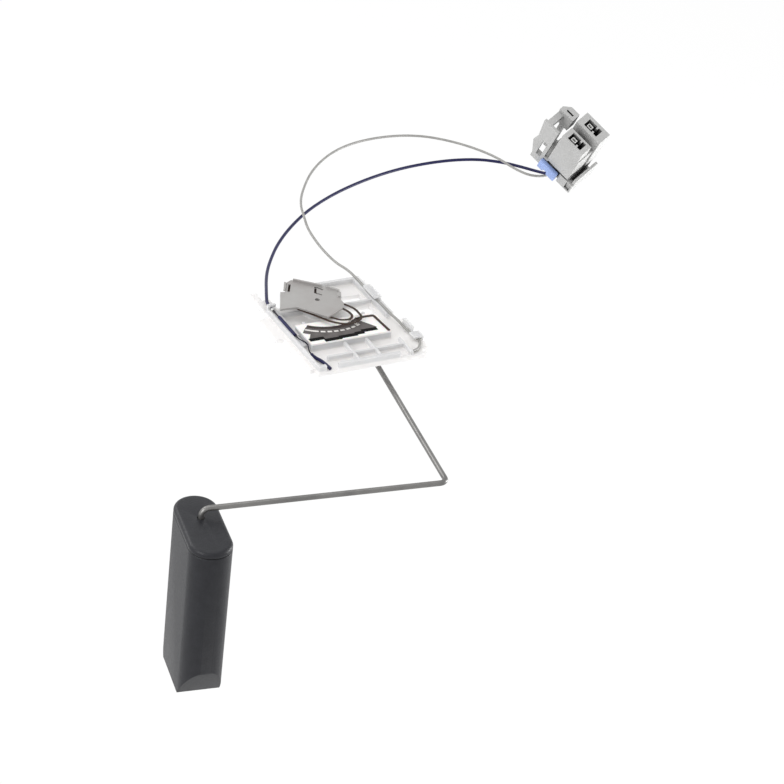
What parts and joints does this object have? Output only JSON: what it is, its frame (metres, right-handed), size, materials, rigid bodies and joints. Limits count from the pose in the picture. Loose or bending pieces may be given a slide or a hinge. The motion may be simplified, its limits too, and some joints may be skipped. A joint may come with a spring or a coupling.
{
  "type": "fuel level sender",
  "caption": "Fuel level sender: pivoted wire arm with a block float drags a wiper over a resistor board on a moulded plate, with two leads and a plug.",
  "frame": {"origin": "where the lever's pivot axis meets the flat back of the carrier plate", "axes": "+Z is the outward normal of the plate's track side and runs along the pivot axis; +Y runs along the guide rails to the end where the leads leave; the arm and float are on the -Z side"},
  "size_m": [0.3267, 0.3066, 0.1413],
  "materials": {
    "natural_acetal": "translucent natural moulding",
    "board_ceramic": "fired matt",
    "track_dark": "printed, semi-matt",
    "contact_silver": "printed silver",
    "track_grey": "printed, semi-matt",
    "coat_black": "printed, matt",
    "spring_alloy": "dark rolled strip",
    "lever_plastic": "moulded, fine grain",
    "arm_steel": "drawn wire",
    "retainer_steel": "stamped",
    "float_foam": "closed-cell skin, matt",
    "terminal_tin": "tinned",
    "connector_plastic": "moulded, fine grain",
    "lock_plastic": "moulded",
    "lead_blue_jacket": "extruded, satin",
    "lead_grey_jacket": "extruded, satin",
    "conductor_copper": "tinned strand"
  },
  "bodies": {
    "plate_unit": {"carrier": "natural_acetal", "resistor_board": "board_ceramic", "collector_track": "track_dark", "contact_segments": "contact_silver", "resistor_field": "track_grey", "field_coat": "coat_black", "end_strap": "spring_alloy", "contact_receptacle_one": "terminal_tin", "contact_receptacle_two": "terminal_tin", "connector_housing": "connector_plastic", "lead_blue": "lead_blue_jacket", "lead_grey": "lead_grey_jacket", "lead_blue_core": "conductor_copper", "lead_blue_sleeve_rail": "lead_blue_jacket", "lead_blue_sleeve_shoulder": "lead_blue_jacket", "lead_blue_sleeve_tail": "lead_blue_jacket", "crimp_ring": "terminal_tin", "lead_grey_rail": "lead_grey_jacket"},
    "swing_arm": {"wiper_lever": "lever_plastic", "wiper_spring_outer": "spring_alloy", "contact_tip_outer": "contact_silver", "wiper_spring_inner": "spring_alloy", "contact_tip_inner": "contact_silver", "float_arm": "arm_steel", "float_retainer": "retainer_steel"},
    "float_body": {"float": "float_foam"},
    "lock_body": {"connector_lock": "lock_plastic"}
  },
  "joints": [
    {"name": "arm_swing", "type": "hinge", "parent": "plate_unit", "child": "swing_arm", "pos_m": [0, 0, 0], "axis": [0, 0, 1], "range_deg": [-59, 0]},
    {"name": "float_spin", "type": "hinge", "parent": "swing_arm", "child": "float_body", "pos_m": [-0.1113, -0.1187, -0.0112], "axis": [0, 0, 1], "continuous": true},
    {"name": "lock_slide", "type": "slide", "parent": "plate_unit", "child": "lock_body", "axis": [-0.886, -0.2744, -0.3739], "range_m": [0, 0.0025]}
  ]
}
